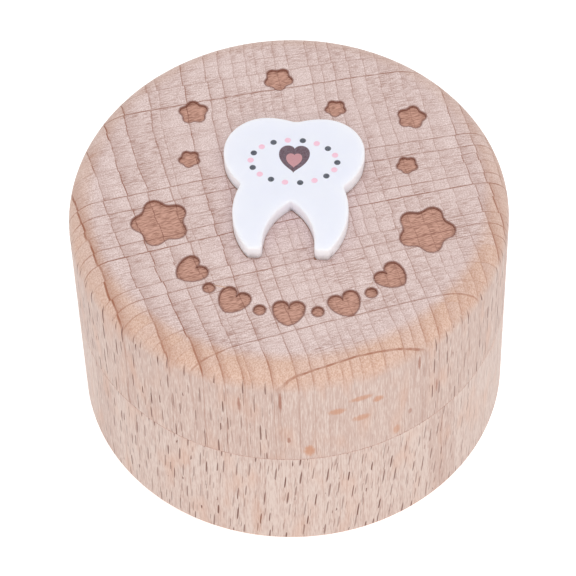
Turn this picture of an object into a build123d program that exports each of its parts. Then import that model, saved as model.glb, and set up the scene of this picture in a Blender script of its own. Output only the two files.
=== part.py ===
from build123d import *
import os
from math import cos, radians, sin

# A small round wooden keepsake box for a child's milk teeth.
# A turned beech cup takes a turned beech cap on a short push-fit spigot.
# A flat moulded tooth is glued to the middle of the cap, among shallow engraved stars,
# with an engraved garland of hearts and dots below it.
# Frame: the origin is the centre of the underside, +Z is up, and +Y is the top of the ornament.
# All lengths are in millimetres and all angles in degrees.

# Outside of the closed box
body_diameter = 50.0  # base and lid alike
base_height = 16.6  # from the table to the shoulder that the lid sits on
lid_height = 16.4  # from that shoulder to the flat of the lid
foot_bevel = 0.6
lid_top_round = 3.4
joint_ease = 0.1  # sanded break on both edges of the joint line

# Hollow of the base
floor_thickness = 3.5
chamber_corner_bevel = 1.5

# Spigot that the lid pushes over
spigot_wall = 2.5
spigot_height = 4.0
spigot_tip_bevel = 0.5
spigot_mouth_bevel = 0.4
fit_clearance = 0.08  # radial gap between the spigot and the lid's recess

# Recess under the lid
lid_wall = 4.42
lid_crown_thickness = 7.4  # above the recess
recess_corner_bevel = 1.0
recess_lead_in = 0.4  # bevel that guides the lid on to the spigot

# Outline of the moulded tooth: heights are drops below the level where the crown is widest
tooth_axis_x = 0.47  # the tooth was glued a little to the right of the lid's centre
crown_level_y = 4.75  # place of the widest level on the lid
crown_width = 16.0
lobe_radius = 4.9  # shoulder of each of the two cusps
cusp_dip = 0.65  # depth of the hollow between the cusps
cusp_dip_round = 2.0
waist_width = 11.5  # neck, where the crown turns into the roots
waist_drop = 4.8
waist_round = 0.6
roots_width = 13.0
roots_drop = 8.4
arch_width = 5.8  # gap between the two roots at their tips
arch_drop = 7.1  # top of the pointed arch between the roots
arch_rise = 5.8
arch_point_round = 0.35
root_tip_width = 1.6
root_tip_drop = 14.0
root_tip_round = 0.55

# Body of the moulded tooth and the glue under it
tooth_thickness = 1.8
tooth_edge_depth = 0.5  # height of the softened front edge
tooth_edge_width = 0.25
tooth_edge_break = 0.2  # second, narrower bevel that rounds the first one off
glue_thickness = 0.15
glue_inset = 0.18

# Engraving
engraving_depth = 0.25
star_tips = 5
large_star_reach = 4.3  # centre to an unrounded tip
medium_star_reach = 2.05
small_star_reach = 1.5
large_star_valley_share = 0.56
large_star_round_share = 0.255
star_valley_share = 0.63  # medium and small stars
star_blunt_share = 0.25  # length of side cut off each of their tips
heart_width = 3.5
heart_height = 3.3
heart_point_round = 0.3
garland_dot_diameter = 1.3

# Places on the lid, as shares of the radius of its flat
pattern_axis_share = 0.042
garland_centre_drop_share = 0.11
garland_radius_share = 0.66
garland_sweep = 104.0  # angle between the first and the last heart
garland_hearts = 5

# Sizes that follow
body_radius = body_diameter / 2
body_height = base_height + lid_height
recess_radius = body_radius - lid_wall
spigot_radius = recess_radius - fit_clearance
chamber_radius = spigot_radius - spigot_wall
spigot_top = base_height + spigot_height
recess_ceiling = body_height - lid_crown_thickness
lid_flat_radius = body_radius - lid_top_round
tooth_underside = body_height + glue_thickness
garland_radius = garland_radius_share * lid_flat_radius
garland_centre_drop = garland_centre_drop_share * lid_flat_radius
pattern_axis_x = pattern_axis_share * lid_flat_radius
crown_side = crown_width / 2
arch_side = arch_width / 2

# Corners of the tooth's outline, from the middle of its widest level
tooth_dip = (0, lobe_radius - cusp_dip)
tooth_waist = (waist_width / 2, -waist_drop)
root_tip_outer = (arch_side + root_tip_width, -root_tip_drop)
root_tip_inner = (arch_side, -root_tip_drop)
arch_point = (0, -arch_drop)

# Each star: shares of the flat's radius right of the pattern's axis and away from
# the viewer, its reach, and the direction of one tip
stars_in_shares = (
    (-0.136, 0.789, medium_star_reach, 279),
    (0.180, 0.596, small_star_reach, 268),
    (0.587, 0.549, medium_star_reach, 82),
    (-0.576, 0.541, medium_star_reach, 98),
    (0.573, 0.221, small_star_reach, 269),
    (-0.575, 0.220, small_star_reach, 267),
    (0.683, -0.204, large_star_reach, 0),
    (-0.696, -0.210, large_star_reach, 186),
)


def corner_of(face, point):
    """The vertex of a flat face that lies at a point."""
    return face.vertices().sort_by_distance(Vector(*point))[0]


def turned(half_section, bevels, rounds=()):
    """Spin a half section, given as corners of radius and height, with some corners bevelled or rounded."""
    section = make_face(Polyline(*half_section, close=True))
    for point, length in bevels:
        section = chamfer(corner_of(section, point), length)
    for point, radius in rounds:
        section = fillet(corner_of(section, point), radius)
    return revolve(Plane.XZ * section, Axis.Z)


def make_base():
    """The cup: a flat foot, a hollow with a bevelled corner, and the spigot for the lid."""
    foot = (body_radius, 0)
    shoulder = (body_radius, base_height)
    spigot_foot = (spigot_radius, base_height)
    spigot_tip = (spigot_radius, spigot_top)
    mouth = (chamber_radius, spigot_top)
    chamber_corner = (chamber_radius, floor_thickness)
    half_section = (
        (0, 0),
        foot,
        shoulder,
        spigot_foot,
        spigot_tip,
        mouth,
        chamber_corner,
        (0, floor_thickness),
    )
    bevels = (
        (foot, foot_bevel),
        (shoulder, joint_ease),
        (spigot_tip, spigot_tip_bevel),
        (mouth, spigot_mouth_bevel),
        (chamber_corner, chamber_corner_bevel),
    )
    return turned(half_section, bevels)


def make_blank_lid():
    """The cap before it is engraved, with its recess and its softly rounded top edge."""
    ceiling_corner = (recess_radius, recess_ceiling)
    recess_mouth = (recess_radius, base_height)
    rim = (body_radius, base_height)
    top_edge = (body_radius, body_height)
    half_section = (
        (0, recess_ceiling),
        ceiling_corner,
        recess_mouth,
        rim,
        top_edge,
        (0, body_height),
    )
    bevels = (
        (ceiling_corner, recess_corner_bevel),
        (recess_mouth, recess_lead_in),
        (rim, joint_ease),
    )
    return turned(half_section, bevels, rounds=((top_edge, lid_top_round),))


def star_outline(reach):
    """A plump star with one tip along +X: the large ones come out rounded, the rest with blunt tips."""
    is_large = reach == large_star_reach
    valley = reach * (large_star_valley_share if is_large else star_valley_share)
    half_step = 180 / star_tips
    corners = []
    for step in range(2 * star_tips):
        radius = valley if step % 2 else reach
        angle = radians(step * half_step)
        corners.append((radius * cos(angle), radius * sin(angle)))
    star = make_face(Polyline(*corners, close=True))
    if is_large:
        return fillet(star.vertices(), large_star_round_share * reach)
    tips = star.vertices().sort_by_distance(Vector(0, 0, 0))[-star_tips:]
    return chamfer(tips, star_blunt_share * reach)


def heart_outline():
    """A heart, point down: two round lobes whose sides run down to the point in one sweep."""
    lobe = heart_width / 4
    top = heart_height / 2 - lobe
    side = heart_width / 2
    point = (0, -heart_height / 2)
    right = (
        ThreePointArc((0, top), (lobe, top + lobe), (side, top)),
        TangentArc((side, top), point, tangent=(0, -1)),
    )
    left = [mirror(edge, Plane.YZ) for edge in right]
    heart = make_face([*right, *left])
    return fillet(corner_of(heart, point), heart_point_round)


def engraved(outline):
    """The material that the laser removes inside an outline: a shallow pocket with upright walls."""
    return extrude(outline, amount=-engraving_depth)


def star_pockets():
    """The eight stars scattered round the tooth."""
    pockets = []
    for across_share, away_share, reach, tip_direction in stars_in_shares:
        x = pattern_axis_x + across_share * lid_flat_radius
        y = away_share * lid_flat_radius
        place = Location((x, y, body_height), (0, 0, tip_direction))
        pockets.append(engraved(place * star_outline(reach)))
    return pockets


def garland_pockets():
    """Hearts with dots between them, along an arc under the roots of the tooth."""
    pockets = []
    places = 2 * garland_hearts - 1
    first_angle = -90 - garland_sweep / 2
    for step in range(places):
        angle = first_angle + step * garland_sweep / (places - 1)
        x = pattern_axis_x + garland_radius * cos(radians(angle))
        y = -garland_centre_drop + garland_radius * sin(radians(angle))
        place = Location((x, y, body_height), (0, 0, angle + 90))
        outline = Circle(garland_dot_diameter / 2) if step % 2 else heart_outline()
        pockets.append(engraved(place * outline))
    return pockets


def make_lid():
    """The cap with its ornament engraved into the flat."""
    return make_blank_lid() - star_pockets() - garland_pockets()


def sharp_tooth():
    """The molar seen from the front, with crisp corners: two cusps, a neck, and roots beside a pointed arch."""
    cusp = (crown_side - lobe_radius, lobe_radius)
    widest = (crown_side, 0)
    root_side = (roots_width / 2, -roots_drop)
    springing = (arch_side, -arch_drop - arch_rise)
    right = (
        TangentArc(cusp, tooth_dip, tangent=(-1, 0)),
        TangentArc(cusp, widest, tangent=(1, 0)),
        TangentArc(widest, tooth_waist, tangent=(0, -1)),
        TangentArc(root_side, tooth_waist, tangent=(0, 1)),
        TangentArc(root_side, root_tip_outer, tangent=(0, -1)),
        Line(root_tip_outer, root_tip_inner),
        Line(root_tip_inner, springing),
        TangentArc(springing, arch_point, tangent=(0, 1)),
    )
    left = [mirror(edge, Plane.YZ) for edge in right]
    return make_face([*right, *left])


def soft_tooth():
    """The same outline with every corner rounded as the mould leaves it."""
    outline = fillet(corner_of(sharp_tooth(), tooth_dip), cusp_dip_round)
    outline = fillet(corner_of(outline, arch_point), arch_point_round)
    pairs = (
        (tooth_waist, waist_round),
        (root_tip_outer, root_tip_round),
        (root_tip_inner, root_tip_round),
    )
    for (x, y), radius in pairs:
        for side in (1, -1):
            outline = fillet(corner_of(outline, (side * x, y)), radius)
    return outline


def make_tooth():
    """The moulded tooth: a flat plate whose front edge is softened by two bevels all the way along."""
    plate = extrude(soft_tooth(), amount=tooth_thickness)
    plate = chamfer(plate.edges().group_by(Axis.Z)[-1], tooth_edge_depth, tooth_edge_width)
    plate = chamfer(plate.edges().group_by(Axis.Z)[-1], tooth_edge_break)
    return Pos(tooth_axis_x, crown_level_y, tooth_underside) * plate


def make_glue():
    """The thin film of glue, which stops short of the tooth's edge."""
    film = extrude(offset(sharp_tooth(), amount=-glue_inset), amount=glue_thickness)
    return Pos(tooth_axis_x, crown_level_y, body_height) * film


pieces = {
    "base": make_base(),
    "lid": make_lid(),
    "tooth_plaque": make_tooth(),
    "glue_film": make_glue(),
}

os.makedirs("parts", exist_ok=True)
for name, piece in pieces.items():
    export_step(piece, f"parts/{name}.step")
    print(name, "volume", round(piece.volume, 2), "box", piece.bounding_box())
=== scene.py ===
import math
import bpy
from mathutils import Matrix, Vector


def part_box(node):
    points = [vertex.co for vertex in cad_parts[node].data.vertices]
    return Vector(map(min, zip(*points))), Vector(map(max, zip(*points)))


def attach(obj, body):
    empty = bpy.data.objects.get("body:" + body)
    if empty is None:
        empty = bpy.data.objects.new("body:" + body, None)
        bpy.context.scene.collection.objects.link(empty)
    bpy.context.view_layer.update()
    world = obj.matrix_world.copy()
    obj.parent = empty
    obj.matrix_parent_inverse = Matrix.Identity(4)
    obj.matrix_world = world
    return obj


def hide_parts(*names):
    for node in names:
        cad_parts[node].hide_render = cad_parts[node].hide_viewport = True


bl_info = {
    "name": "Milk tooth box",
    "version": (1, 0, 0),
    "blender": (4, 5, 0),
    "location": "3D View > Sidebar > Tooth Box",
    "description": "Dresses the packed tooth box: turned beech, laser engraving, moulded tooth and studio",
    "category": "Object",
}

from functools import partial
from typing import NamedTuple

import bmesh
import bpy
from mathutils import Matrix, Vector

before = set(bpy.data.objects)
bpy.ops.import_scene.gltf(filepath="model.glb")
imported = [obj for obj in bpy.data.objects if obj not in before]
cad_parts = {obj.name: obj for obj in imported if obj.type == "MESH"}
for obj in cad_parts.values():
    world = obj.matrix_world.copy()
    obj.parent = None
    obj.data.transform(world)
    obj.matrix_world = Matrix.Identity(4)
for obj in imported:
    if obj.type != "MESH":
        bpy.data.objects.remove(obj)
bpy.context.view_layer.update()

MM = 0.001
SAME_POINT = 0.001 * MM  # closer than this, two points count as one
HAIR = 0.02 * MM  # closer than this, two heights count as one
METRES_TO_MM = (1000, 1000, 1000)  # scale of a mapping
base_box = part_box("base")
lid_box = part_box("lid")
tooth_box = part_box("tooth_plaque")


def linear(hex_colour):
    """A colour read off a swatch as sRGB hex, as the linear values that a shader takes."""
    channels = []
    for place in (0, 2, 4):
        value = int(hex_colour[place : place + 2], 16) / 255
        channels.append(value / 12.92 if value <= 0.04045 else ((value + 0.055) / 1.055) ** 2.4)
    return (*channels, 1.0)


def length(name, description, millimetres):
    """A length in millimetres, kept in metres."""
    return bpy.props.FloatProperty(
        name=name,
        description=description,
        default=millimetres * MM,
        unit="LENGTH",
        subtype="DISTANCE",
        precision=5,
    )


def swatch(name, description, hex_colour):
    """A colour, written as sRGB hex."""
    return bpy.props.FloatVectorProperty(
        name=name,
        description=description,
        default=linear(hex_colour),
        size=4,
        min=0,
        max=1,
        subtype="COLOR",
    )


def share(name, description, default):
    """A plain number, mostly between 0 and 1."""
    return bpy.props.FloatProperty(name=name, description=description, default=default, subtype="FACTOR")


def turn(name, description, degrees):
    """An angle in degrees, kept in radians."""
    return bpy.props.FloatProperty(
        name=name, description=description, default=math.radians(degrees), unit="ROTATION", subtype="ANGLE"
    )


class TurnedSizes(bpy.types.PropertyGroup):
    """Sizes of the turned cup."""

    shoulder: length("Shoulder height", "Where the lid meets the cup", 16.6)
    spigot_radius: length("Spigot radius", "Outside of the ring that the lid pushes over", 20.5)
    chamber_radius: length("Chamber radius", "Inside of the cup", 18.0)
    floor: length("Floor thickness", "Wood under the chamber", 3.5)
    foot_round: length("Foot rounding", "Sanded edge at the table", 0.6)
    shoulder_ease: length("Shoulder easing", "Sanded break at the joint line", 0.03)
    spigot_round: length("Spigot rounding", "Tip of the spigot", 0.5)
    mouth_round: length("Mouth rounding", "Inner edge of the spigot", 0.4)
    chamber_round: length("Chamber corner", "Corner of the chamber's floor", 1.5)


class ToothSizes(bpy.types.PropertyGroup):
    """Sizes of the moulded tooth and of the small print on it."""

    edge_round: length("Edge rounding", "Soft front edge of the moulding", 0.5)
    squeeze_left: length("Glue to the left", "How far the glue was squeezed out", 0.2)
    squeeze_down: length("Glue below", "How far the glue was squeezed out under the arch", 0.05)
    print_x: length("Print across", "Middle of the print, to the right of the box's axis", 0.52)
    print_y: length("Print up", "Middle of the print, above the box's axis", 3.25)
    heart: length("Heart size", "Half width of the printed heart", 1.75)
    wreath_across: length("Wreath half width", "From the middle of the print to its dots at the side", 4.9)
    wreath_up: length("Wreath half height", "From the middle of the print to its dots at the top", 3.1)
    wreath_dot: length("Wreath dot radius", "Radius of one printed dot", 0.36)


class BeechColours(bpy.types.PropertyGroup):
    """Colours of bare beech, as the eye sees each cut of it, and of its burnt engraving."""

    end_grain: swatch("End grain", "Wood cut across, on the flat of the lid", "CDB7B1")
    end_pale: swatch("Pale end grain", "Lighter specks between the vessels", "ECD9D6")
    side_grain: swatch("Side grain", "Wood cut along, on the turned side", "BAA096")
    side_pale: swatch("Pale side grain", "Lighter streaks on the turned side", "CFBDB4")
    slant_grain: swatch("Slanting grain", "Wood cut at a slant, on the rounded edge", "C49D89")
    slant_pale: swatch("Pale slanting grain", "Lighter specks on the rounded edge", "D9BAA9")
    flush: swatch("Flush", "Broad warmer patches on the turned side", "CB9F88")
    line: swatch("Line", "Late wood of a ring and edge of a ray, cut across", "8E5A46")
    slant_line: swatch("Slanting line", "The same lines where the edge cuts them at a slant", "9E6850")
    fleck: swatch("Fleck", "End of a ray on the turned side", "683F32")
    mark: swatch("Mark", "Darker grain where the side just touches a ring", "B9805F")
    cut_ray: swatch("Cut ray", "Narrow marks on the front of the lid", "9A6A58")
    burnt: swatch("Burnt floor", "Floor of the laser engraving", "CC9E8D")
    burnt_streak: swatch("Burnt streak", "Fibres that the laser darkened more", "8E6252")
    scorched: swatch("Scorched edge", "Edge and wall of the laser engraving", "7A4A3C")


class PrintColours(bpy.types.PropertyGroup):
    """Colours of the tooth, its print and its glue."""

    resin: swatch("Resin", "Cool white of the moulded tooth", "E8EAFF")
    heart: swatch("Heart", "Dark heart of the print", "5F414B")
    inner_heart: swatch("Inner heart", "Small heart inside the dark one", "CD9BA0")
    slate: swatch("Slate dots", "Every other dot of the wreath", "3C414B")
    blush: swatch("Blush dots", "The dots between them", "F0C4D4")
    # the glue's colour is partly painted shade: the contact shadow along the tooth's foot
    glue: swatch("Glue", "Dried glue over beech, in shade", "94664D")


class StageSizes(bpy.types.PropertyGroup):
    """Camera and light."""

    azimuth: turn("Azimuth", "Camera's direction round the box", 4.4)
    elevation: turn("Elevation", "Camera's height above the horizon", 53.0628)
    roll: turn("Roll", "Turn of the camera about its own line of sight", -1.79553)
    distance: length("Distance", "From the camera to the middle of the box", 364.9)
    focal_millimetres: bpy.props.FloatProperty(
        name="Focal length", description="Focal length on a 36 mm sensor", default=194.85, unit="CAMERA"
    )
    shift_across: share("Shift across", "Framing of the photograph, as a share of its width", -0.0051)
    shift_up: share("Shift up", "Framing of the photograph, as a share of its width", -0.0099)
    surround: share("Surround", "Strength of the white light tent round the box", 0.9)
    key_power: bpy.props.FloatProperty(
        name="Key power", description="Power of the large soft light", default=1.2, unit="POWER"
    )
    glow: share("Table glow", "Light that comes up through the table", 0.57)


class ToothBoxSettings(bpy.types.PropertyGroup):
    """Everything that a user would change."""

    turned: bpy.props.PointerProperty(type=TurnedSizes, name="Turned sizes")
    tooth: bpy.props.PointerProperty(type=ToothSizes, name="Tooth sizes")
    beech: bpy.props.PointerProperty(type=BeechColours, name="Beech colours")
    printed: bpy.props.PointerProperty(type=PrintColours, name="Print colours")
    stage: bpy.props.PointerProperty(type=StageSizes, name="Stage")
    scorch_width: length("Scorch width", "Dark line along the inside of the engraving's edge", 0.05)
    rim_scorch: length("Rim scorch", "How far the heat browned the flat round each pocket", 0.25)
    spot_round: length("Spot rounding", "Corner that the laser's spot leaves in a pocket", 0.2)


def add_node(tree, kind, values=(), **settings):
    """One node with its settings, its values and its links.

    The values are a list in the order of the node's inputs, or a dict by the inputs' names or numbers.
    A node among them stands for its first output.
    """
    node = tree.nodes.new(kind)
    for name, value in settings.items():
        setattr(node, name, value)
    placed = values.items() if isinstance(values, dict) else enumerate(values)
    for place, value in placed:
        if isinstance(value, bpy.types.Node):
            value = value.outputs[0]
        if isinstance(value, bpy.types.NodeSocket):
            tree.links.new(value, node.inputs[place])
        else:
            node.inputs[place].default_value = value
    return node


def new_material(name):
    """An empty node material, and the function that adds nodes to it."""
    material = bpy.data.materials.new(name)
    material.use_nodes = True
    material.node_tree.nodes.clear()
    return material, partial(add_node, material.node_tree)


def laid_over(add, colour, layers):
    """A colour with a stack of others laid over it in turn, each by its own amount."""
    for amount, over in layers:
        colour = add("ShaderNodeMix", {0: amount, 6: colour, 7: over}, data_type="RGBA").outputs[2]
    return colour


class Blank(NamedTuple):
    """The block of beech that a part was turned from. Lengths are in millimetres, from the box's axis."""

    turn: float  # angle that brings X across the growth rings
    rings: tuple  # each ring's place across the wood, with its strength
    rays: tuple  # each ray's place along the rings, with its strength
    fleck_sets: tuple  # each set: spacing round and up, width and length, lean, share kept, strength
    fleck_fade: float  # strength of the flecks at the left and right, where the rays are cut along
    marks: tuple  # each mark on the front: place along the rings, height, half width and height, strength
    pale: float  # how much paler the side is than a plain one
    ring_fan: tuple = (0.0, 0.0)  # slope of the rings: at the axis, and its change across the wood
    ring_bow: float = 0.0  # bend of the rings, a share per millimetre squared
    ring_lean: float = 0.0  # how far a ring moves out with each millimetre down the box
    ray_fan: tuple = (0.0, 0.0)  # slope of the rays at the left and at the right
    ray_bow: float = 0.0  # bend of the rays, a share per millimetre squared
    fleck_limit: float = 99.0  # place across the rings beyond which the side shows no flecks
    dark_year: float = 99.0  # number of the year whose wood is darker on the side, if any


# The lid's own wood. A script measured where its lines lie in the photograph; rounded to 0.1 mm
lid_blank = Blank(
    turn=math.radians(70.6),
    rings=(
        (-24.6, 0.4), (-22.7, 0.4), (-20.6, 0.4), (-18.4, 0.5), (-15.6, 0.9), (-13.7, 0.2), (-12.5, 0.3),
        (-11.2, 0.25), (-10.8, 0.4), (-8.3, 0.25), (-7.9, 0.6), (-6.1, 0.35), (-4.4, 0.8), (-2.4, 0.8),
        (-1.2, 0.4), (0.0, 0.5), (2.0, 0.7), (3.6, 1.0), (5.6, 0.3), (7.9, 0.55), (9.5, 0.75), (11.0, 0.6),
        (12.4, 0.3), (13.6, 0.2), (14.6, 0.5), (15.6, 0.2), (16.8, 0.4), (18.4, 0.8), (19.2, 0.35),
        (23.5, 1.0), (25.4, 0.4),
    ),
    rays=(
        (-23.1, 0.9), (-20.0, 0.75), (-17.3, 1.0), (-15.0, 0.8), (-12.5, 0.55), (-11.7, 0.35), (-9.0, 0.8),
        (-6.2, 0.6), (-4.5, 0.65), (-2.9, 0.4), (-1.3, 0.35), (-0.2, 0.35), (0.9, 0.3), (2.1, 0.4),
        (3.6, 0.4), (6.0, 0.5), (7.3, 0.45), (8.7, 0.5), (10.5, 0.55), (12.3, 0.4), (13.9, 0.4),
        (15.0, 0.25), (16.3, 0.35), (18.0, 0.4), (20.6, 0.7), (22.3, 0.8), (24.2, 0.5),
    ),
    fleck_sets=(
        ((1.6, 4.2), (0.18, 3.6), (0.0, 0.0), 0.85, 0.95),
        ((1.1, 2.9), (0.13, 2.4), (0.0, 0.0), 0.50, 0.50),
    ),
    fleck_fade=1.5,
    marks=(
        (-1.9, 25.2, 1.05, 0.6, 0.65), (0.9, 26.7, 1.4, 0.5, 0.6), (2.9, 25.6, 0.7, 0.6, 0.7),
        (0.9, 23.0, 1.1, 0.6, 0.6), (-5.0, 18.3, 0.65, 1.1, 0.75), (5.2, 18.1, 0.5, 0.9, 0.55),
        (-7.2, 20.5, 0.2, 0.6, 0.8), (6.9, 20.4, 0.25, 0.6, 0.6), (-8.0, 28.0, 0.2, 2.0, 0.9),
        (8.0, 28.7, 0.2, 1.3, 0.8), (10.4, 22.2, 0.15, 1.2, 0.7), (-12.2, 26.8, 0.15, 1.6, 0.8),
    ),
    pale=-0.08,
    ring_fan=(0.051, -0.0027),
    ring_bow=0.00105,
    ray_fan=(0.0345, -0.0524),
    ray_bow=0.0026,
    fleck_limit=23.0,
)

# The cup came from another place in the plank: even rings that lie another way, and dark flecks that lean
cup_blank = Blank(
    turn=math.radians(95),
    rings=(
        (-24.0, 0.4), (-21.5, 0.6), (-19.4, 0.4), (-16.6, 0.7), (-14.1, 0.5), (-11.3, 0.6), (-8.9, 0.4),
        (-6.2, 0.7), (-3.4, 0.5), (-1.1, 0.6), (1.7, 0.4), (4.0, 0.6), (6.8, 0.5), (9.2, 0.7), (11.6, 0.4),
        (14.5, 0.6), (17.7, 0.5), (20.4, 0.5),
    ),
    rays=(
        (-23.6, 0.5), (-21.4, 0.7), (-19.3, 0.4), (-17.0, 0.6), (-15.3, 0.5), (-12.8, 0.7), (-10.9, 0.4),
        (-8.6, 0.6), (-6.5, 0.5), (-4.1, 0.4), (-2.2, 0.6), (0.4, 0.5), (2.3, 0.4), (4.6, 0.6), (6.9, 0.5),
        (8.7, 0.4), (11.2, 0.6), (13.1, 0.5), (15.4, 0.6), (17.6, 0.4), (19.5, 0.7), (21.8, 0.5),
        (23.7, 0.4),
    ),
    fleck_sets=(
        ((1.5, 4.0), (0.20, 3.2), (0.09, 0.05), 0.95, 1.00),
        ((1.1, 3.1), (0.13, 2.2), (0.09, 0.05), 0.50, 0.60),
    ),
    fleck_fade=0.35,
    marks=((-0.7, 4.5, 0.7, 5.0, 0.22),),
    pale=0.33,
    ring_lean=-0.03,
    dark_year=16.0,
)


# Grains of the wood, by name: size across the growth rings, along them and up, in millimetres, and fineness
grain_sizes = {
    "specks": ((0.13, 0.16, 0.5), 2.0),  # vessels, drawn coarser than their 0.06 mm so that they show
    "hatch": ((0.16, 1.2, 3.0), 2.0),  # rows of fibres along the rings
    "char": ((0.11, 0.8, 3.0), 2.0),  # the same rows where the laser burnt them
    "patches": ((2.6, 4.5, 20.0), 2.0),  # hazy fields on the flat
    "threads": ((0.15, 0.15, 9.0), 2.0),  # fibres on the side
    "vessels": ((0.13, 0.13, 1.4), 2.0),  # vessels cut along, on the side, also drawn coarser
    "bands": ((1.5, 1.5, 45.0), 2.0),  # broad streaks down the side
    "flushes": ((2.5, 2.5, 7.0), 1.0),  # warmer patches on the side
    "swing": ((9.0, 9.0, 9.0), 1.0),  # slow bend of the rings
    "tremble": ((2.0, 2.0, 2.0), 2.0),  # their quick bend
    "ray_bend": ((3.0, 3.0, 6.0), 1.0),  # bend of the rays between two rings
    "ring_breaks": ((2.0, 0.9, 1.4), 1.0),  # where a ring's line fades
    "ray_breaks": ((1.3, 0.8, 6.0), 1.0),  # where a ray's line fades
}


class Lines(NamedTuple):
    """A place in the wood, read against a list of lines. Each value is a node."""

    place: bpy.types.Node  # millimetres across the lines
    gap: bpy.types.Node  # millimetres from the nearest line
    past: bpy.types.Node  # millimetres past the last one
    strength: bpy.types.Node  # strength of the nearest line
    number: bpy.types.Node  # number of the wood between two lines


class WoodPlace(NamedTuple):
    """Where a point of the surface lies in the wood, and how it faces."""

    across: bpy.types.NodeSocket  # millimetres across the growth rings
    along: bpy.types.NodeSocket  # millimetres along them
    height: bpy.types.NodeSocket  # millimetres above the table
    up: bpy.types.NodeSocket  # 1 on the flat, 0 on the side, between them on the rounded edge
    grains: dict  # each grain's noise there


def bend_curve(curve, points):
    """Puts straight runs through the points of a curve node; the first and the last point are its ends."""
    line = curve.mapping.curves[0]
    line.points[0].location = points[0]
    line.points[1].location = points[-1]
    for x, y in points[1:-1]:
        line.points.new(x, y)
    for point in line.points:
        point.handle_type = "VECTOR"
    curve.mapping.update()


def count_lines(add, place, lines):
    """Reads a place in the wood against a list of lines, each with its strength."""
    # beyond its outer lines the wood goes on for 6 mm, more than the box holds
    first, last = lines[0][0] - 6.0, lines[-1][0] + 6.0
    spaces = len(lines) + 1
    shares = [(line - first) / (last - first) for line, _ in lines]
    counting = [(0, 0)] + [(x, (i + 1) / spaces) for i, x in enumerate(shares)] + [(1, 1)]
    strengths = [(x, amount) for x, (_, amount) in zip(shares, lines)]
    strengths = [(0, lines[0][1])] + strengths + [(1, lines[-1][1])]
    step = 0.25  # millimetres between the two readings that show how close the lines are
    read = []
    for ahead, points in ((0.0, counting), (step, counting), (0.0, strengths)):
        on_curve = add("ShaderNodeMapRange", [place, first - ahead, last - ahead])
        read.append(add("ShaderNodeFloatCurve", {"Value": on_curve}))
        bend_curve(read[-1], points)
    count = add("ShaderNodeMath", [read[0], float(spaces)], operation="MULTIPLY")
    climb = add("ShaderNodeMath", [read[1], read[0]], operation="SUBTRACT")
    per_mm = add("ShaderNodeMath", [climb, spaces / step], operation="MULTIPLY")
    least_per_mm = 0.15  # keeps the distances finite where the reading is flat
    safe = add("ShaderNodeMath", [per_mm, least_per_mm], operation="MAXIMUM")
    half_on = add("ShaderNodeMath", [count, 0.5], operation="ADD")
    part = add("ShaderNodeMath", [half_on], operation="FRACT")
    signed = add("ShaderNodeMath", [part, 0.5], operation="SUBTRACT")
    gap = add("ShaderNodeMath", [signed, safe], operation="DIVIDE")
    past_part = add("ShaderNodeMath", [count], operation="FRACT")
    past = add("ShaderNodeMath", [past_part, safe], operation="DIVIDE")
    number = add("ShaderNodeMath", [count], operation="FLOOR")
    return Lines(place, gap, past, read[2], number)


def wood_place(add, angle):
    """Reads where a point of the surface lies in wood whose rings are turned by an angle."""
    place = add("ShaderNodeTexCoord").outputs["Object"]
    turned = add("ShaderNodeMapping", {"Vector": place, "Rotation": (0, 0, angle), "Scale": METRES_TO_MM})
    grains = {}
    for name, (sizes, detail) in grain_sizes.items():
        squeezed = add("ShaderNodeMapping", {"Vector": turned, "Scale": [1 / size for size in sizes]})
        noise = {"Vector": squeezed, "Scale": 1.0, "Detail": detail, "Roughness": 0.55}
        grains[name] = add("ShaderNodeTexNoise", noise)
    facing = add("ShaderNodeTexCoord").outputs["Normal"]
    up = add("ShaderNodeSeparateXYZ", [facing]).outputs[2]
    return WoodPlace(*add("ShaderNodeSeparateXYZ", [turned]).outputs, up, grains)


def straightened(add, place, beside, slope, bow, bends):
    """A place across some lines, once their slope, their bow and their bends are taken out of it.

    Each bend is a noise, with how far it moves the lines in all, half to each side.
    """
    bowed = add("ShaderNodeMath", [beside, bow, slope], operation="MULTIPLY_ADD")
    offset = add("ShaderNodeMath", [beside, bowed], operation="MULTIPLY")
    place = add("ShaderNodeMath", [place, offset], operation="SUBTRACT")
    for noise, amount in bends:
        place = add("ShaderNodeMath", [noise, amount, place], operation="MULTIPLY_ADD")
    half = sum(amount for _, amount in bends) / 2
    return add("ShaderNodeMath", [place, half], operation="SUBTRACT")


def growth_rings(add, wood, blank):
    """The rings, each a thin dark line of late wood that closes a year and leans down the side."""
    at_axis, change = blank.ring_fan
    slope = add("ShaderNodeMath", [wood.across, change, at_axis], operation="MULTIPLY_ADD")
    bends = ((wood.grains["swing"], 0.30), (wood.grains["tremble"], 0.22))
    place = straightened(add, wood.across, wood.along, slope, blank.ring_bow, bends)
    below = add("ShaderNodeMath", [wood.height, lid_box[1].z / MM], operation="SUBTRACT")
    leaning = add("ShaderNodeMath", [below, blank.ring_lean, place], operation="MULTIPLY_ADD")
    return count_lines(add, leaning, blank.rings)


def wood_rays(add, wood, blank, year):
    """The rays, thin sheets across the rings, which each year shifts a little."""
    slope = add("ShaderNodeMapRange", [wood.along, -15.0, -8.0, *blank.ray_fan])
    shift = add("ShaderNodeTexWhiteNoise", {"W": year}, noise_dimensions="1D")
    bends = ((shift, 0.22), (wood.grains["ray_bend"], 0.40))
    place = straightened(add, wood.along, wood.across, slope, blank.ray_bow, bends)
    return count_lines(add, place, blank.rays)


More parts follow.
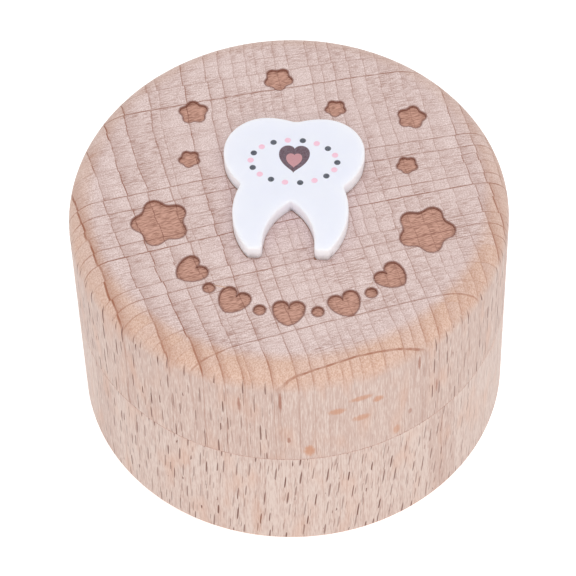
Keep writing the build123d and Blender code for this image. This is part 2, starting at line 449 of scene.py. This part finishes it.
def side_flecks(add, spacing, dash, lean, keep, strength, seed):
    """Ends of the rays on the turned side: short dark dashes along the fibres, pointed at both ends.

    Each cell, sized in millimetres, holds at most one dash. Its width is measured round the box.
    """
    cell = (spacing[0], spacing[0], spacing[1])
    place = add("ShaderNodeTexCoord").outputs["Object"]
    scale = [1 / (size * MM) for size in cell]
    squeezed = add("ShaderNodeMapping", {"Vector": place, "Location": (seed, seed, seed), "Scale": scale})
    cells = add("ShaderNodeTexVoronoi", {"Vector": squeezed, "Scale": 1.0, "Randomness": 0.85})
    offset = add("ShaderNodeVectorMath", [squeezed, cells.outputs["Position"]], operation="SUBTRACT")
    real = add("ShaderNodeVectorMath", [offset, cell], operation="MULTIPLY")
    turning = add("ShaderNodeVectorMath", [(0, 0, 1), place], operation="CROSS_PRODUCT")
    tangent = add("ShaderNodeVectorMath", [turning], operation="NORMALIZE")
    up = add("ShaderNodeSeparateXYZ", [real]).outputs[2]
    leaning = (-lean[0], -lean[1], 0)
    upright = add("ShaderNodeVectorMath", [up, leaning, real], operation="MULTIPLY_ADD")
    beside = add("ShaderNodeVectorMath", [upright, tangent], operation="DOT_PRODUCT").outputs["Value"]
    # each dash draws its own length, width and strength
    draws = add("ShaderNodeSeparateColor", [cells.outputs["Color"]]).outputs
    half_long = add("ShaderNodeMapRange", [draws[0], 0.0, 1.0, dash[1] * 0.3, dash[1] * 0.5])
    half_wide = add("ShaderNodeMapRange", [draws[1], 0.0, 1.0, dash[0] * 0.35, dash[0] * 0.6])
    end_share = add("ShaderNodeMath", [up, half_long], operation="DIVIDE")
    end_away = add("ShaderNodeMath", [end_share, 4.0], operation="POWER")
    wide_share = add("ShaderNodeMath", [beside, half_wide], operation="DIVIDE")
    wide_away = add("ShaderNodeMath", [wide_share], operation="ABSOLUTE")
    rim = add("ShaderNodeMath", [end_away, wide_away], operation="ADD")
    inside = add("ShaderNodeMapRange", [rim, 1.2, 0.5, 0.0, strength], interpolation_type="SMOOTHSTEP")
    kept = add("ShaderNodeMath", [draws[2], keep], operation="LESS_THAN")
    faded = add("ShaderNodeMapRange", [draws[2], 0.0, keep, 1.0, 0.35])
    shown = add("ShaderNodeMath", [kept, faded], operation="MULTIPLY")
    return add("ShaderNodeMath", [inside, shown], operation="MULTIPLY")


def wood_tones(add, wood, blank, rings, rays):
    """How much of each trait of the wood a place shows, by the trait's name."""
    level, off_middle, outward = [
        add("ShaderNodeMath", [value], operation="ABSOLUTE") for value in (wood.up, wood.along, wood.across)
    ]
    tilt = add("ShaderNodeMath", [level], operation="ARCCOSINE")
    toward_front = add("ShaderNodeMath", [wood.along, -0.27, wood.across], operation="MULTIPLY_ADD")
    # each year, and each field between two rings and two rays, draws a number of its own
    year = add("ShaderNodeTexWhiteNoise", {"W": rings.number}, noise_dimensions="1D")
    field_place = add("ShaderNodeCombineXYZ", [rings.number, rays.number])
    field = add("ShaderNodeTexWhiteNoise", {"Vector": field_place}, noise_dimensions="2D")
    # what each is read from, between which two values, and the amounts that it has there
    traits = {
        "end cut": (level, 0.35, 0.95, 0.0, 1.0),
        "side cut": (level, 0.10, 0.55, 1.0, 0.0),
        "above side": (level, 0.0, 0.5, 0.1, 1.0),
        "below flat": (tilt, 0.03, 0.45, 0.0, 1.0),
        "warmth": (toward_front, -10.0, 14.0, 0.4, 1.0),
        "field": (field, 0.0, 1.0, 0.0, 0.07),
        "field warmth": (field, 0.0, 1.0, 0.7, 1.05),
        "year": (year, 0.0, 1.0, 0.0, 0.12),
        "specks": (wood.grains["specks"], 0.38, 0.61, 0.0, 1.0),
        "patches": (wood.grains["patches"], 0.35, 0.7, 0.25, 1.0),
        "rows": (wood.grains["hatch"], 0.42, 0.66, 0.0, 0.55),
        "burnt rows": (wood.grains["char"], 0.43, 0.63, 0.0, 0.8),
        "threads": (wood.grains["threads"], 0.3, 0.7, -0.35, 0.65),
        "bands": (wood.grains["bands"], 0.35, 0.65, 0.0, 0.2),
        "vessels": (wood.grains["vessels"], 0.34, 0.66, blank.pale - 0.6, blank.pale + 0.75),
        "flushes": (wood.grains["flushes"], 0.52, 0.72, 0.0, 0.35),
        "ring kept": (wood.grains["ring_breaks"], 0.3, 0.6, 0.5, 0.9),
        "ray kept": (wood.grains["ray_breaks"], 0.3, 0.58, 0.45, 1.1),
        "ring width": (rings.strength, 0.0, 1.0, 0.040, 0.075),
        "strip": (off_middle, 4.0, 15.0, 0.7, 1.7),
        "flecks": (outward, 8.0, 20.0, blank.fleck_fade, 1.0),
        "free of rings": (rings.place, blank.fleck_limit, blank.fleck_limit + 0.6, 1.0, 0.15),
        "roughness": (wood.grains["specks"], 0.2, 0.8, 0.55, 0.72),
    }
    tones = {}
    for trait, values in traits.items():
        blend = "SMOOTHSTEP" if trait.endswith(" cut") else "LINEAR"
        tones[trait] = add("ShaderNodeMapRange", values, interpolation_type=blend)
    # the rounded edge is cut at a slant, and looks warmer towards the front
    slant = tones["above side"]
    for trait in ("below flat", "warmth", "field warmth"):
        slant = add("ShaderNodeMath", [slant, tones[trait]], operation="MULTIPLY")
    tones["slant"] = slant
    # the wood is darker just past each ray, over a wider strip near the left and right of the lid
    past_share = add("ShaderNodeMath", [rays.past, tones["strip"]], operation="DIVIDE")
    tones["past ray"] = add("ShaderNodeMapRange", [past_share, 0.0, 1.0, 0.28, 0.0])
    warm = add("ShaderNodeMapRange", [past_share, 0.0, 0.7, 0.65, 0.0])
    for amount in (rays.strength, slant):
        warm = add("ShaderNodeMath", [warm, amount], operation="MULTIPLY")
    tones["warm past ray"] = warm
    return tones


def wood_lines(add, rings, rays, tones):
    """Ring lines and ray lines, which are faint down the side."""
    slant_width = add("ShaderNodeMath", [tones["slant"], rays.strength], operation="MULTIPLY")
    ray_width = add("ShaderNodeMath", [slant_width, 0.05, 0.045], operation="MULTIPLY_ADD")
    lines = 0.0
    for read, width, kept, soft, on_side in (
        (rings, tones["ring width"], tones["ring kept"], 0.035, 0.22),
        (rays, ray_width, tones["ray kept"], 0.04, 0.45),
    ):
        away = add("ShaderNodeMath", [read.gap], operation="ABSOLUTE")
        reach = add("ShaderNodeMath", [away, width], operation="SUBTRACT")
        line = add("ShaderNodeMapRange", [reach, soft, -soft], interpolation_type="SMOOTHSTEP")
        fade = add("ShaderNodeMapRange", [tones["side cut"], 0.0, 1.0, 1.0, on_side])
        for amount in (read.strength, kept, fade):
            line = add("ShaderNodeMath", [line, amount], operation="MULTIPLY")
        lines = add("ShaderNodeMath", [line, lines], operation="MAXIMUM")
    return lines


def wood_cuts(add, colours, blank, rings, rays, tones, lines):
    """Colours of the wood as each cut shows it, by the cut's name."""
    # end grain: rows of fibres in hazy patches, each field with a tone of its own
    rows = add("ShaderNodeMath", [tones["rows"], tones["patches"]], operation="MULTIPLY")
    toned = add("ShaderNodeMath", [tones["field"], rows], operation="ADD")
    dark = add("ShaderNodeMath", [tones["past ray"], rays.strength, toned], operation="MULTIPLY_ADD")
    # side grain: fine fibres, vessels and broad faint streaks, and one year darker than the others
    in_dark_year = add("ShaderNodeMath", [rings.number, blank.dark_year, 0.5], operation="COMPARE")
    side_tone = add("ShaderNodeMath", [in_dark_year, -0.45, tones["year"]], operation="MULTIPLY_ADD")
    for trait in ("threads", "bands", "vessels"):
        side_tone = add("ShaderNodeMath", [side_tone, tones[trait]], operation="ADD")
    # each cut is a ground with colours laid over it by an amount
    cuts = {
        "end": (colours.end_grain, ((tones["specks"], colours.end_pale), (dark, colours.line))),
        "side": (colours.side_grain, ((side_tone, colours.side_pale), (tones["flushes"], colours.flush))),
        "slant": (colours.slant_grain, ((tones["specks"], colours.slant_pale),)),
        "line": (colours.line, ((tones["slant"], colours.slant_line),)),
        "burnt": (colours.burnt, ((tones["burnt rows"], colours.burnt_streak), (lines, colours.scorched))),
    }
    return {cut: laid_over(add, ground, layers) for cut, (ground, layers) in cuts.items()}


def fleck_layers(add, colours, blank, tones):
    """Flecks, which show only on the side, and hardly where the side just touches a ring."""
    layers = []
    for number, fleck_set in enumerate(blank.fleck_sets):
        fleck = side_flecks(add, *fleck_set, seed=7.3 * number + 3.0)
        for trait in ("side cut", "free of rings", "flecks"):
            fleck = add("ShaderNodeMath", [fleck, tones[trait]], operation="MULTIPLY")
        layers.append((fleck, colours.fleck))
    return layers


def mark_layers(add, colours, blank, wood, tones):
    """Ovals on the front: the narrow ones are cut rays, the broad ones a touch of a ring."""
    front = add("ShaderNodeMath", [wood.across, 15.0], operation="GREATER_THAN")
    front_side = add("ShaderNodeMath", [front, tones["side cut"]], operation="MULTIPLY")
    side_place = add("ShaderNodeCombineXYZ", [wood.along, wood.height])
    layers = []
    for along, height, half_wide, half_high, strength in blank.marks:
        offset = add("ShaderNodeVectorMath", [side_place, (along, height, 0)], operation="SUBTRACT")
        shares = add("ShaderNodeVectorMath", [offset, (half_wide, half_high, 1)], operation="DIVIDE")
        square = add("ShaderNodeVectorMath", [shares, shares], operation="DOT_PRODUCT").outputs["Value"]
        # full in its middle, with a slightly ragged edge
        ragged = add("ShaderNodeMath", [wood.grains["specks"], 1.2, square], operation="MULTIPLY_ADD")
        values = [ragged, 2.0, 0.7, 0.0, strength]
        spot = add("ShaderNodeMapRange", values, interpolation_type="SMOOTHSTEP")
        shown = add("ShaderNodeMath", [spot, front_side], operation="MULTIPLY")
        layers.append((shown, colours.cut_ray if half_wide < 0.3 else colours.mark))
    return layers


def laser_burns(add, up, rim_scorch):
    """How far the laser burnt the wood: all of each pocket, and its scorched edge.

    The edge shows as a thin line on the flat too, where the wood is thin towards the pocket.
    """
    burnt = add("ShaderNodeAttribute", attribute_name="engraved").outputs["Fac"]
    scorch = add("ShaderNodeAttribute", attribute_name="scorched").outputs["Fac"]
    reach = {"Distance": rim_scorch}
    wall = add("ShaderNodeAmbientOcclusion", reach, samples=8, inside=True, only_local=True)
    near_rim = add("ShaderNodeMapRange", [wall.outputs["AO"], 0.97, 0.75])
    on_flat = add("ShaderNodeMath", [up, 0.99], operation="GREATER_THAN")
    browned = add("ShaderNodeMath", [near_rim, on_flat], operation="MULTIPLY")
    edge = add("ShaderNodeMath", [browned, scorch], operation="MAXIMUM")
    return burnt, add("ShaderNodeMath", [edge, 0.8], operation="MULTIPLY")


def beech(name, colours, blank, rim_scorch=0.0):
    """Beech, turned and sanded bare: matt, pinkish, with close dark ring lines, rays and fine fibres.

    With a rim scorch it is engraved as well: brown floors, streaked along the rows of fibres.
    """
    material, add = new_material(name)
    wood = wood_place(add, blank.turn)
    rings = growth_rings(add, wood, blank)
    rays = wood_rays(add, wood, blank, rings.number)
    tones = wood_tones(add, wood, blank, rings, rays)
    lines = wood_lines(add, rings, rays, tones)
    cuts = wood_cuts(add, colours, blank, rings, rays, tones, lines)
    layers = [
        (tones["end cut"], cuts["end"]),
        (tones["slant"], cuts["slant"]),
        (tones["warm past ray"], colours.slant_line),
        (lines, cuts["line"]),
    ]
    layers += fleck_layers(add, colours, blank, tones)
    layers += mark_layers(add, colours, blank, wood, tones)
    rough = tones["roughness"]
    if rim_scorch:
        burnt, scorched = laser_burns(add, wood.up, rim_scorch)
        layers += [(burnt, cuts["burnt"]), (scorched, colours.scorched)]
        rough = add("ShaderNodeMath", [burnt, 0.12, rough], operation="MULTIPLY_ADD")
    colour = laid_over(add, cuts["side"], layers)
    fibres = add("ShaderNodeMath", [wood.grains["specks"], wood.grains["threads"]], operation="ADD")
    relief = add("ShaderNodeBump", {"Strength": 0.2, "Distance": 0.04 * MM, "Height": fibres})
    surface = add(
        "ShaderNodeBsdfPrincipled",
        {
            "Base Color": colour,
            "Roughness": rough,
            "IOR": 1.5,
            "Specular IOR Level": 0.25,
            "Sheen Weight": 0.06,
            "Sheen Roughness": 0.4,
            "Normal": relief,
        },
    )
    add("ShaderNodeOutputMaterial", {"Surface": surface})
    return material


def heart_mask(add, flat, middle_up, half_width):
    """1 inside a plain heart: a circle whose halves are each lifted away from the middle."""
    lift_share, soft = 0.62, 0.025
    moved = add("ShaderNodeVectorMath", [flat, (0, middle_up, 0)], operation="SUBTRACT")
    sized = add("ShaderNodeVectorMath", {0: moved, 3: 1 / half_width}, operation="SCALE")
    across, upward, _ = add("ShaderNodeSeparateXYZ", [sized]).outputs
    beside = add("ShaderNodeMath", [across], operation="ABSOLUTE")
    lift = add("ShaderNodeMath", [beside], operation="SQRT")
    lowered = add("ShaderNodeMath", [lift, -lift_share, upward], operation="MULTIPLY_ADD")
    corner = add("ShaderNodeCombineXYZ", [across, lowered])
    away = add("ShaderNodeVectorMath", [corner], operation="LENGTH").outputs["Value"]
    return add("ShaderNodeMapRange", [away, 1 + soft, 1 - soft], interpolation_type="SMOOTHSTEP")


def wreath_masks(add, flat, half_width, half_height, dot_radius, dots):
    """Round dots along an oval, and which of the two colours each takes."""
    oval = (half_width, half_height, 1)
    squeezed = add("ShaderNodeVectorMath", [flat, oval], operation="DIVIDE")
    across, upward, _ = add("ShaderNodeSeparateXYZ", [squeezed]).outputs
    angle = add("ShaderNodeMath", [upward, across], operation="ARCTAN2")
    count = add("ShaderNodeMath", [angle, dots / math.tau, dots + 0.5], operation="MULTIPLY_ADD")
    number = add("ShaderNodeMath", [count], operation="FLOOR")
    dot_angle = add("ShaderNodeMath", [number, math.tau / dots], operation="MULTIPLY")
    corner = [add("ShaderNodeMath", [dot_angle], operation=part) for part in ("COSINE", "SINE")]
    on_circle = add("ShaderNodeCombineXYZ", corner)
    on_oval = add("ShaderNodeVectorMath", [on_circle, oval], operation="MULTIPLY")
    away = add("ShaderNodeVectorMath", [flat, on_oval], operation="DISTANCE").outputs["Value"]
    soft = 0.04
    rim = [away, dot_radius + soft, dot_radius - soft]
    dot = add("ShaderNodeMapRange", rim, interpolation_type="SMOOTHSTEP")
    odd = add("ShaderNodeMath", [number, 2.0], operation="MODULO")
    return dot, odd


def moulded_resin(sizes, colours):
    """Polyester resin, cast in a soft mould: satin, cool white, slightly milky, with a small pad print."""
    material, add = new_material("Polyester resin, cast, with a pad print")
    place = add("ShaderNodeTexCoord").outputs["Object"]
    middle = (-sizes.print_x / MM, -sizes.print_y / MM, 0)
    moved = add("ShaderNodeMapping", {"Vector": place, "Location": middle, "Scale": METRES_TO_MM})
    # only the flat front takes the print
    z = add("ShaderNodeSeparateXYZ", [moved]).outputs[2]
    on_front = add("ShaderNodeMath", [z, tooth_box[1].z / MM - 0.02], operation="GREATER_THAN")
    flat = add("ShaderNodeVectorMath", [moved, (1, 1, 0)], operation="MULTIPLY")
    wreath = [size / MM for size in (sizes.wreath_across, sizes.wreath_up, sizes.wreath_dot)]
    dot, odd = wreath_masks(add, flat, *wreath, dots=18)
    heart = heart_mask(add, flat, 0.0, sizes.heart / MM)
    inner_share, inner_up = 0.52, -0.05
    inner = heart_mask(add, flat, inner_up, sizes.heart / MM * inner_share)
    # ink lies a little unevenly on the cast surface, at about 0.1 mm
    grain = add("ShaderNodeTexNoise", {"Vector": moved, "Scale": 7.0, "Detail": 2.0})
    ink = add("ShaderNodeMapRange", [grain, 0.3, 0.7, 0.86, 1.0])
    printed = add("ShaderNodeMath", [on_front, ink], operation="MULTIPLY")
    cast = add("ShaderNodeTexNoise", {"Vector": moved, "Scale": 0.35, "Detail": 2.0})
    cast_tone = add("ShaderNodeMapRange", [cast, 0.3, 0.7, 0.0, 0.5])
    # painted light: the edge all round gets a paler colour, standing in for the light that enters the flat
    # and comes out of the edge
    facing = add("ShaderNodeTexCoord").outputs["Normal"]
    up = add("ShaderNodeSeparateXYZ", [facing]).outputs[2]
    edge = add("ShaderNodeMapRange", [up, 0.9, 0.2])
    layers = [(cast_tone, linear("ECEEFF")), (edge, linear("F1F0FF"))]
    dot_mix = {0: odd, 6: colours.slate, 7: colours.blush}
    dot_colour = add("ShaderNodeMix", dot_mix, data_type="RGBA").outputs[2]
    for mask, ink_colour in ((dot, dot_colour), (heart, colours.heart), (inner, colours.inner_heart)):
        layers.append((add("ShaderNodeMath", [mask, printed], operation="MULTIPLY"), ink_colour))
    body = laid_over(add, colours.resin, layers)
    relief = add("ShaderNodeBump", {"Strength": 0.15, "Distance": 0.05 * MM, "Height": cast})
    surface = add(
        "ShaderNodeBsdfPrincipled",
        {
            "Base Color": body,
            "Subsurface Weight": 1.0,
            "Subsurface Radius": (1, 1, 1),
            "Subsurface Scale": 1.2 * MM,
            "Roughness": 0.42,
            "IOR": 1.55,
            "Specular IOR Level": 0.4,
            "Normal": relief,
        },
    )
    add("ShaderNodeOutputMaterial", {"Surface": surface})
    return material


def glue_with_painted_shade(colours):
    """Clear contact glue, squeezed thin and dried, with a wet shine: its dark colour is partly the glue
    darkening the beech, partly painted shade under the tooth's edge.
    """
    material, add = new_material("Contact glue, squeezed out and dried")
    place = add("ShaderNodeTexCoord").outputs["Object"]
    blots = add("ShaderNodeTexNoise", {"Vector": place, "Scale": 900.0, "Detail": 2.0})
    blot_mix = {0: blots, 6: colours.glue, 7: linear("8A5C46")}
    tone = add("ShaderNodeMix", blot_mix, data_type="RGBA").outputs[2]
    surface = add("ShaderNodeBsdfPrincipled", {"Base Color": tone, "Roughness": 0.35, "IOR": 1.48})
    add("ShaderNodeOutputMaterial", {"Surface": surface})
    return material


def opal_acrylic(glow):
    """Opal acrylic, lit from below, as on a product table: even white, with no shadow."""
    material, add = new_material("Opal acrylic, satin, lit from below")
    place = add("ShaderNodeTexCoord").outputs["Object"]
    cloud = add("ShaderNodeTexNoise", {"Vector": place, "Scale": 400.0})
    cloud_mix = {0: cloud, 6: linear("DEDEDE"), 7: linear("E2E2E2")}
    tone = add("ShaderNodeMix", cloud_mix, data_type="RGBA").outputs[2]
    lit = {"Base Color": tone, "Roughness": 0.9, "Emission Color": (1, 1, 1, 1), "Emission Strength": glow}
    surface = add("ShaderNodeBsdfPrincipled", lit)
    add("ShaderNodeOutputMaterial", {"Surface": surface})
    return material


def put_in_scene(name, data):
    """A new object that shows some data."""
    thing = bpy.data.objects.new(name, data)
    bpy.context.scene.collection.objects.link(thing)
    return thing


def dressed_mesh(name, bm, material):
    """A new object made of a bmesh, in its material."""
    mesh = bpy.data.meshes.new(name)
    bm.to_mesh(mesh)
    bm.free()
    mesh.materials.append(material)
    return put_in_scene(name, mesh)


def new_piece(name, bm, body, node, material, keep_sharp=30.0):
    """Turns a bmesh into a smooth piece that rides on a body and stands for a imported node."""
    piece = dressed_mesh(name, bm, material)
    piece.data.shade_smooth()
    piece.data.set_sharp_from_angle(angle=math.radians(keep_sharp))
    piece.modifiers.new("Even shading", "WEIGHTED_NORMAL").keep_sharp = True
    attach(piece, body)
    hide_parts(node)


def copy_of_node(node):
    """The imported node's triangles in a new bmesh, joined into one closed skin."""
    bm = bmesh.new()
    bm.from_mesh(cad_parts[node].data)
    bmesh.ops.remove_doubles(bm, verts=bm.verts, dist=2 * SAME_POINT)
    return bm


def soften(bm, geom, radius, segments, affect="EDGES"):
    """Rounds edges off, or the corners of a section."""
    bmesh.ops.bevel(
        bm,
        geom=geom,
        offset=radius,
        offset_type="OFFSET",
        segments=segments,
        profile=0.5,
        affect=affect,
        clamp_overlap=affect == "EDGES",
        material=-1,
    )


def join_flats(bm):
    """Makes the triangles of each flat or straight facet one face again."""
    bmesh.ops.dissolve_limit(bm, angle_limit=math.radians(0.5), verts=bm.verts, edges=bm.edges)


def faces_at(bm, height):
    """The faces that look straight up at a height."""
    upward = [face for face in bm.faces if face.normal.z > 0.99]
    return [face for face in upward if abs(face.calc_center_median().z - height) < HAIR]


def level_edges(bm, height):
    """The edges that lie at a height."""
    return [edge for edge in bm.edges if all(abs(vert.co.z - height) < SAME_POINT for vert in edge.verts)]


class TOOTHBOX_OT_turned_base(bpy.types.Operator):
    """Turn the cup of the box, with its spigot and its hollow."""

    bl_idname = "tooth_box.turned_base"
    bl_label = "Turned base"

    def execute(self, context):
        settings = context.scene.tooth_box
        sizes = settings.turned
        outside = base_box[1].x
        top = base_box[1].z
        section = (
            (0, 0, 0),
            (outside, 0, sizes.foot_round),
            (outside, sizes.shoulder, sizes.shoulder_ease),
            (sizes.spigot_radius, sizes.shoulder, 0),
            (sizes.spigot_radius, top, sizes.spigot_round),
            (sizes.chamber_radius, top, sizes.mouth_round),
            (sizes.chamber_radius, sizes.floor, sizes.chamber_round),
            (0, sizes.floor, 0),
        )
        bm = bmesh.new()
        corners = [bm.verts.new((radius, 0, height)) for radius, height, _ in section]
        for start, end in zip(corners, corners[1:]):
            bm.edges.new((start, end))
        for corner, (_, _, rounding) in zip(corners, section):
            if rounding:
                soften(bm, [corner], rounding, 6, "VERTICES")
        facets = 190  # round to within 4 micrometres
        bmesh.ops.spin(
            bm,
            geom=bm.verts[:] + bm.edges[:],
            cent=(0, 0, 0),
            axis=(0, 0, 1),
            angle=math.tau,
            steps=facets,
            use_merge=True,
        )
        bmesh.ops.remove_doubles(bm, verts=bm.verts, dist=SAME_POINT)
        bmesh.ops.recalc_face_normals(bm, faces=bm.faces)
        material = beech("Beech, turned and sanded, cup", settings.beech, cup_blank)
        new_piece("turned_base", bm, "base", "base", material)
        return {"FINISHED"}


class TOOTHBOX_OT_engraved_lid(bpy.types.Operator):
    """Dress the lid: round the corners of its engraved pockets, and scorch the edge of each floor."""

    bl_idname = "tooth_box.engraved_lid"
    bl_label = "Engraved lid"

    def execute(self, context):
        settings = context.scene.tooth_box
        bm = copy_of_node("lid")
        top = lid_box[1].z
        join_flats(bm)
        # the laser's spot leaves no corner of a pocket sharp
        wall_corners = [
            edge
            for edge in bm.edges
            if abs(edge.verts[0].co.z - edge.verts[1].co.z) > 0.2 * MM
            and min(vert.co.z for vert in edge.verts) > top - 0.4 * MM
            and (edge.verts[0].co - edge.verts[1].co).to_2d().length < 0.01 * MM
            and not edge.is_convex
            and edge.calc_face_angle(0.0) > math.radians(25)
        ]
        if not wall_corners:
            raise RuntimeError("the pockets have no corners to round")
        soften(bm, wall_corners, settings.spot_round, 4)
        join_flats(bm)
        heights = [face.calc_center_median().z for face in bm.faces if face.normal.z > 0.99]
        pocket_floor = min(height for height in heights if height > top - MM)
        if pocket_floor > top - 0.1 * MM:
            raise RuntimeError("the lid has no engraved pockets: their floors weren't found")
        bmesh.ops.dissolve_faces(bm, faces=faces_at(bm, pocket_floor))
        floors = faces_at(bm, pocket_floor)
        floor_edges = [edge for floor in floors for edge in floor.edges]
        walls = {face for edge in floor_edges for face in edge.link_faces if face not in floors}
        engraved = bm.loops.layers.float.new("engraved")
        scorched = bm.loops.layers.float.new("scorched")
        borders = bmesh.ops.inset_individual(
            bm, faces=floors, thickness=settings.scorch_width, depth=0.0, use_even_offset=False
        )["faces"]
        for faces, amount in ((walls, 1.0), (borders, 1.0), (floors, 0.0)):
            for corner in [corner for face in faces for corner in face.loops]:
                corner[engraved] = 1.0
                corner[scorched] = amount
        bmesh.ops.triangulate(bm, faces=floors)
        material = beech("Beech, turned and sanded, lid", settings.beech, lid_blank, settings.rim_scorch)
        new_piece("engraved_lid", bm, "lid", "lid", material)
        return {"FINISHED"}


class TOOTHBOX_OT_moulded_tooth(bpy.types.Operator):
    """Cast the tooth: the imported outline, drawn up again with one soft rounding along its front edge."""

    bl_idname = "tooth_box.moulded_tooth"
    bl_label = "Moulded tooth"

    def execute(self, context):
        settings = context.scene.tooth_box
        bm = copy_of_node("tooth_plaque")
        foot, front = tooth_box[0].z, tooth_box[1].z
        halfway = (foot + front) / 2
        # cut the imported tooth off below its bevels, close the cut and draw it up to the front again
        cut = bmesh.ops.bisect_plane(
            bm,
            geom=bm.verts[:] + bm.edges[:] + bm.faces[:],
            dist=SAME_POINT / 10,
            plane_co=(0, 0, halfway),
            plane_no=(0, 0, 1),
            clear_outer=True,
        )["geom_cut"]
        rim = [part for part in cut if isinstance(part, bmesh.types.BMEdge)]
        drawn = bmesh.ops.extrude_edge_only(bm, edges=rim)["geom"]
        raised = [part for part in drawn if isinstance(part, bmesh.types.BMVert)]
        bmesh.ops.translate(bm, verts=raised, vec=(0, 0, front - halfway))
        bmesh.ops.contextual_create(bm, geom=level_edges(bm, front))
        bmesh.ops.recalc_face_normals(bm, faces=bm.faces)
        soften(bm, level_edges(bm, front), settings.tooth.edge_round, 8)
        bmesh.ops.triangulate(bm, faces=[face for face in bm.faces if len(face.verts) > 4])
        material = moulded_resin(settings.tooth, settings.printed)
        new_piece("moulded_tooth", bm, "lid", "tooth_plaque", material, keep_sharp=40.0)
        return {"FINISHED"}


class TOOTHBOX_OT_glue(bpy.types.Operator):
    """Lay the film of glue, which the pressed tooth squeezed out a little to the left and below; its dark
    colour is partly painted shade along the tooth's foot.
    """

    bl_idname = "tooth_box.glue"
    bl_label = "Glue film"

    def execute(self, context):
        settings = context.scene.tooth_box
        sizes = settings.tooth
        bm = copy_of_node("glue_film")
        if not bm.faces:
            raise RuntimeError("the packed glue film is empty")
        bmesh.ops.translate(bm, verts=bm.verts, vec=(-sizes.squeeze_left, -sizes.squeeze_down, 0))
        new_piece("squeezed_glue", bm, "lid", "glue_film", glue_with_painted_shade(settings.printed))
        return {"FINISHED"}


class TOOTHBOX_OT_stage(bpy.types.Operator):
    """Set the lit white table, the soft light and the camera."""

    bl_idname = "tooth_box.stage"
    bl_label = "Stage"

    def execute(self, context):
        scene = context.scene
        stage = scene.tooth_box.stage
        bm = bmesh.new()
        table_half = 1.5  # metres
        bmesh.ops.create_grid(bm, x_segments=1, y_segments=1, size=table_half)
        # a hair under the box, so that the two flat faces don't share one plane
        bmesh.ops.translate(bm, verts=bm.verts, vec=(0, 0, -HAIR))
        dressed_mesh("table", bm, opal_acrylic(stage.glow))

        world = bpy.data.worlds.new("Light tent")
        scene.world = world
        world.use_nodes = True
        world.node_tree.nodes.clear()
        white = {"Color": (1, 1, 1, 1), "Strength": stage.surround}
        tent = add_node(world.node_tree, "ShaderNodeBackground", white)
        add_node(world.node_tree, "ShaderNodeOutputWorld", {"Surface": tent})

        key = bpy.data.lights.new("key", "AREA")
        key.energy = stage.key_power
        key.size = 0.5  # metres, so that the shadows have soft edges
        lamp = put_in_scene("key", key)
        # above the viewer and a little to the right, and turned towards the box
        lamp.location = (0.1, -0.45, 0.55)
        lit_point = Vector((0, 0, 0.02))
        lamp.rotation_euler = (lit_point - lamp.location).to_track_quat("-Z", "Y").to_euler()

        camera = bpy.data.cameras.new("camera")
        camera.sensor_width = 36
        camera.lens = stage.focal_millimetres
        camera.shift_x = stage.shift_across
        camera.shift_y = stage.shift_up
        eye = put_in_scene("camera", camera)
        back = Vector(
            (
                math.sin(stage.azimuth) * math.cos(stage.elevation),
                -math.cos(stage.azimuth) * math.cos(stage.elevation),
                math.sin(stage.elevation),
            )
        )
        level = Vector((math.cos(stage.azimuth), math.sin(stage.azimuth), 0))
        upright = back.cross(level)
        right = level * math.cos(stage.roll) + upright * math.sin(stage.roll)
        axes = Matrix((right, back.cross(right), back)).transposed()
        middle = Vector((0, 0, lid_box[1].z / 2))
        eye.matrix_world = Matrix.Translation(middle + back * stage.distance) @ axes.to_4x4()
        scene.camera = eye
        scene.view_settings.view_transform = "Standard"
        return {"FINISHED"}


class TOOTHBOX_PT_panel(bpy.types.Panel):
    """Lists the pieces of the tooth box."""

    bl_idname = "TOOTHBOX_PT_panel"
    bl_label = "Tooth Box"
    bl_space_type = "VIEW_3D"
    bl_region_type = "UI"
    bl_category = "Tooth Box"

    def draw(self, context):
        for step in steps:
            self.layout.operator(step.bl_idname)
        settings = context.scene.tooth_box
        for group in (settings.turned, settings.tooth, settings.beech, settings.printed, settings.stage):
            column = self.layout.column(align=True)
            for name in group.__annotations__:
                column.prop(group, name)
        for name in ("scorch_width", "rim_scorch", "spot_round"):
            self.layout.prop(settings, name)


steps = (
    TOOTHBOX_OT_turned_base,
    TOOTHBOX_OT_engraved_lid,
    TOOTHBOX_OT_moulded_tooth,
    TOOTHBOX_OT_glue,
    TOOTHBOX_OT_stage,
)
groups = (TurnedSizes, ToothSizes, BeechColours, PrintColours, StageSizes, ToothBoxSettings)


def register():
    """Adds the settings, the operators and the panel."""
    for item in groups + steps + (TOOTHBOX_PT_panel,):
        bpy.utils.register_class(item)
    bpy.types.Scene.tooth_box = bpy.props.PointerProperty(type=ToothBoxSettings)


def unregister():
    """Takes them away again."""
    del bpy.types.Scene.tooth_box
    for item in reversed(groups + steps + (TOOTHBOX_PT_panel,)):
        bpy.utils.unregister_class(item)


def main():
    """Makes every piece in order."""
    register()
    bpy.ops.tooth_box.turned_base()
    bpy.ops.tooth_box.engraved_lid()
    bpy.ops.tooth_box.moulded_tooth()
    bpy.ops.tooth_box.glue()
    bpy.ops.tooth_box.stage()


if __name__ == "__main__":
    main()
